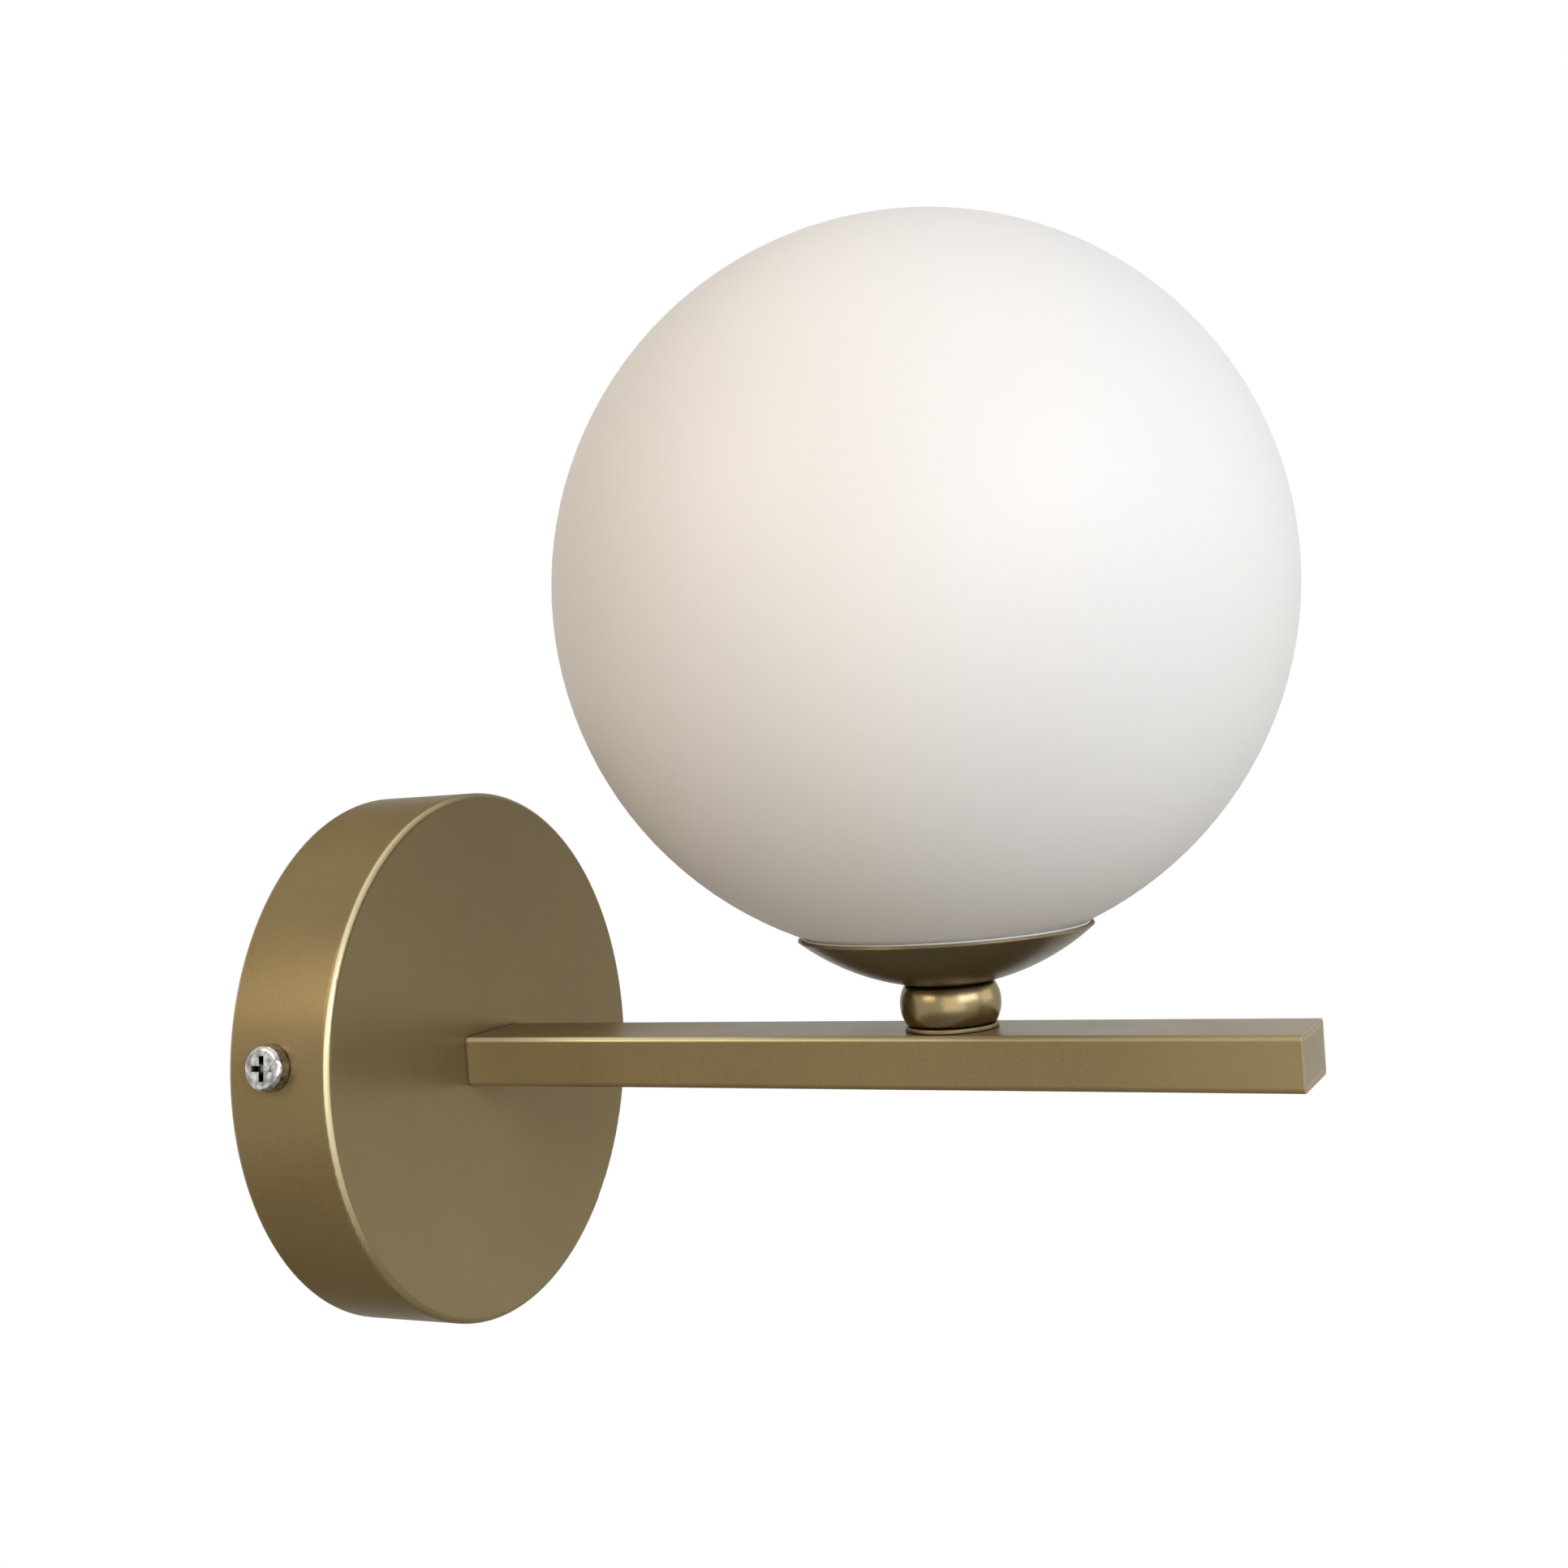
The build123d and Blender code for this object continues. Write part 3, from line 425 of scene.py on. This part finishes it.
def earth_sheath():
    """Green sheath with a yellow stripe that winds round the lead."""
    finish = Finish("green_yellow_insulation")
    wave = finish.add("ShaderNodeTexWave", {"Scale": 260.0, "Distortion": 0.4}, bands_direction="DIAGONAL")
    finish.join(finish.place, wave.inputs["Vector"])
    stripe = finish.spread(wave.outputs["Fac"], 0.0, 1.0, start=0.45, end=0.55)
    finish.colour_from(finish.blend(stripe, colour(0.03, 0.24, 0.05), colour(0.72, 0.62, 0.04)))
    finish.uneven_roughness(900.0, smooth=0.32, rough=0.42)
    return finish.material


def frosted_lamp():
    """The lamp's envelope, frosted white."""
    finish = Finish("frosted_bulb", IOR=1.45, Transmission_Weight=0.55)
    cloud = finish.noise(90.0)
    finish.colour_from(finish.blend(cloud, colour(0.90, 0.90, 0.87), colour(0.94, 0.94, 0.92)))
    finish.uneven_roughness(800.0, smooth=0.45, rough=0.55)
    return finish.material


# Each finish by the slot that the record gives to a piece
materials = {
    "satin_gold": satin_gold("satin_gold"),
    "opal_glass": opal_glass(),
    "bright_chrome": chrome(),
    "zinc_steel": zinc(
        "zinc_steel",
        dark=colour(0.42, 0.43, 0.44),
        light=colour(0.58, 0.59, 0.60),
        smooth=0.28,
        rough=0.42,
    ),
    "spring_steel": zinc(
        "spring_steel",
        dark=colour(0.34, 0.34, 0.35),
        light=colour(0.48, 0.48, 0.49),
        smooth=0.20,
        rough=0.32,
    ),
    "brass_metal": brass(),
    "black_rubber": moulded(
        "black_rubber",
        dark=colour(0.012, 0.012, 0.012),
        light=colour(0.02, 0.02, 0.02),
        smooth=0.55,
        rough=0.7,
    ),
    # Pale silicone, light enough that the gasket lip reads as a painted highlight
    "clear_silicone": moulded(
        "clear_silicone",
        dark=colour(0.82, 0.82, 0.79),
        light=colour(0.88, 0.88, 0.85),
        smooth=0.35,
        rough=0.45,
        Transmission_Weight=0.15,
        IOR=1.41,
    ),
    "white_plastic": moulded(
        "white_plastic",
        dark=colour(0.72, 0.71, 0.68),
        light=colour(0.78, 0.77, 0.74),
        smooth=0.38,
        rough=0.48,
    ),
    "white_ceramic": moulded(
        "white_ceramic",
        dark=colour(0.74, 0.71, 0.64),
        light=colour(0.82, 0.79, 0.73),
        smooth=0.62,
        rough=0.78,
        scale=500.0,
    ),
    "brown_insulation": moulded(
        "brown_insulation",
        dark=colour(0.055, 0.02, 0.008),
        light=colour(0.075, 0.028, 0.012),
        smooth=0.3,
        rough=0.4,
    ),
    "blue_insulation": moulded(
        "blue_insulation",
        dark=colour(0.01, 0.04, 0.22),
        light=colour(0.014, 0.055, 0.28),
        smooth=0.3,
        rough=0.4,
    ),
    "green_yellow_insulation": earth_sheath(),
    "frosted_bulb": frosted_lamp(),
    "led_core": moulded(
        "led_core",
        dark=colour(0.78, 0.62, 0.12),
        light=colour(0.86, 0.72, 0.2),
        smooth=0.5,
        rough=0.6,
    ),
}

# Pieces of satin gold whose lacquer differs from the slot's: the plate and arm carry a painted highlight,
# the arm painted light, and the cup painted shade
# The arm's lacquer carries a painted highlight on its upper edge, and painted light near its ends
arm_gold = satin_gold(
    "satin_gold_arm", shade=1.20, painted_highlight=arm_edge_painted_highlight, painted_light=arm_ends_painted_light, gloss=arm_gloss, Metallic=0.20
)
node_materials = {
    # The plate's lacquer carries a painted highlight on its rim
    "canopy": satin_gold(
        "satin_gold_plate", shade=1.25, painted_highlight=plate_rim_painted_highlight, gloss=plate_gloss, Metallic=0.33
    ),
    "arm_tube": arm_gold,
    "arm_end_cap": arm_gold,
    "bead": satin_gold(
        "satin_gold_turned",
        shade=1.10,
        smooth=0.25,
        rough=0.30,
        Metallic=0.95,
        Coat_Weight=0.55,
        Coat_Roughness=0.20,
    ),
    # Painted shade: the cup's gold is a darker copy, for its shaded underside
    "cup": satin_gold("satin_gold_spun_painted_shade", shade=0.62),
}


def dress_nodes():
    """Give each piece of the CAD its finish."""
    for part in frame["record"]["subparts"]:
        node = frame["nodes"][part["node"]]
        node.data.materials.clear()
        node.data.materials.append(node_materials.get(part["node"], materials[part["material_slot"]]))


# ------------------------------------------------------------------ small detail
def make_gasket_lip_and_highlight():
    """The pale lip of the silicone gasket: it fills the gap between the cup's rim and the glass, and stands
    as a painted highlight along the rim, hiding the shade in the gap.
    """
    bpy.ops.mesh.primitive_torus_add(
        major_radius=lip_radius,
        minor_radius=lip_thickness / 2,
        major_segments=lip_segments,
        minor_segments=lip_section_segments,
        location=(0.0, -stem_reach, lip_height),
    )
    lip = bpy.context.object
    lip.name = "gasket_lip_and_highlight"
    lip.data.shade_smooth()
    lip.data.materials.append(materials["clear_silicone"])
    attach(lip, "fixture")


# ------------------------------------------------------------------ surroundings
def make_world():
    """A white backdrop for the camera, mirrors and glass, and a plain low level for all other light."""
    world = bpy.data.worlds.new("studio")
    world.use_nodes = True
    bpy.context.scene.world = world
    tree = world.node_tree
    tree.nodes.clear()
    output = tree.nodes.new("ShaderNodeOutputWorld")
    mix = tree.nodes.new("ShaderNodeMixShader")
    path = tree.nodes.new("ShaderNodeLightPath")
    seen = path.outputs["Is Camera Ray"]
    for name in ("Is Glossy Ray", "Is Transmission Ray"):
        either = tree.nodes.new("ShaderNodeMath")
        either.operation = "MAXIMUM"
        tree.links.new(seen, either.inputs[0])
        tree.links.new(path.outputs[name], either.inputs[1])
        seen = either.outputs["Value"]
    tree.links.new(seen, mix.inputs["Fac"])
    for socket, strength in ((1, ambient_strength), (2, backdrop_strength)):
        background = tree.nodes.new("ShaderNodeBackground")
        background.inputs["Color"].default_value = white
        background.inputs["Strength"].default_value = strength
        tree.links.new(background.outputs["Background"], mix.inputs[socket])
    tree.links.new(mix.outputs["Shader"], output.inputs["Surface"])


def floor_paint():
    """Matte pale paint that fades away towards the floor's edge."""
    finish = Finish("floor_paint", Roughness=0.85)
    cloud = finish.noise(6.0, detail=3.0)
    finish.colour_from(finish.blend(cloud, colour(0.42, 0.40, 0.37), colour(0.47, 0.45, 0.42)))
    clear = finish.add("ShaderNodeBsdfTransparent")
    mix = finish.add("ShaderNodeMixShader")
    finish.join(finish.spread(finish.distance(finish.place), 0.0, 1.0, *floor_fade), mix.inputs["Fac"])
    finish.join(finish.shader.outputs["BSDF"], mix.inputs[1])
    finish.join(clear.outputs["BSDF"], mix.inputs[2])
    finish.join(mix.outputs["Shader"], finish.output.inputs["Surface"])
    return finish.material


def make_floor():
    """A plain pale floor, below the frame and round the camera. It fades into the white backdrop."""
    bpy.ops.mesh.primitive_circle_add(
        vertices=floor_corners,
        radius=floor_radius,
        fill_type="NGON",
        location=(camera_place.x, camera_place.y, floor_height),
    )
    floor = bpy.context.object
    floor.name = "floor"
    floor.data.materials.append(floor_paint())


def direction(azimuth, elevation):
    """Unit vector towards a place round the light: azimuth 0 is in front of it, and -90 at its left."""
    return Vector((sin(azimuth) * cos(elevation), -cos(azimuth) * cos(elevation), sin(elevation)))


def make_soft_box(name, azimuth, elevation, distance, width, height, power, tint):
    """A soft box that faces the globe, and that the camera doesn't see."""
    data = bpy.data.lights.new(name, "AREA")
    data.shape = "RECTANGLE"
    data.size = width
    data.size_y = height
    data.energy = power
    data.color = tint
    box = bpy.data.objects.new(name, data)
    bpy.context.scene.collection.objects.link(box)
    globe_low, globe_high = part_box("globe")
    towards = direction(radians(azimuth), radians(elevation))
    box.location = (globe_low + globe_high) / 2 + towards * distance
    box.rotation_mode = "QUATERNION"
    box.rotation_quaternion = towards.to_track_quat("Z", "Y")
    box.visible_camera = False


def make_camera():
    """The photograph's camera: its axes are built from its direction, and then rolled."""
    back = direction(camera_azimuth, camera_elevation)
    right = (-back).cross(Vector((0, 0, 1))).normalized()
    up = right.cross(-back)
    rolled_right = cos(camera_roll) * right + sin(camera_roll) * up
    rolled_up = cos(camera_roll) * up - sin(camera_roll) * right
    data = bpy.data.cameras.new("camera")
    data.sensor_width = sensor_width
    data.lens = sensor_width * focal_pixels / photo_width
    data.clip_start = nearest_seen
    data.clip_end = farthest_seen
    camera = bpy.data.objects.new("camera", data)
    bpy.context.scene.collection.objects.link(camera)
    axes = Matrix((rolled_right, rolled_up, back)).transposed().to_4x4()
    camera.matrix_world = Matrix.Translation(camera_place) @ axes
    bpy.context.scene.camera = camera


dress_nodes()
make_gasket_lip_and_highlight()
make_world()
make_floor()
for box_name, settings in soft_boxes.items():
    make_soft_box(box_name, **settings)
make_camera()
bpy.context.scene.view_settings.view_transform = "Standard"
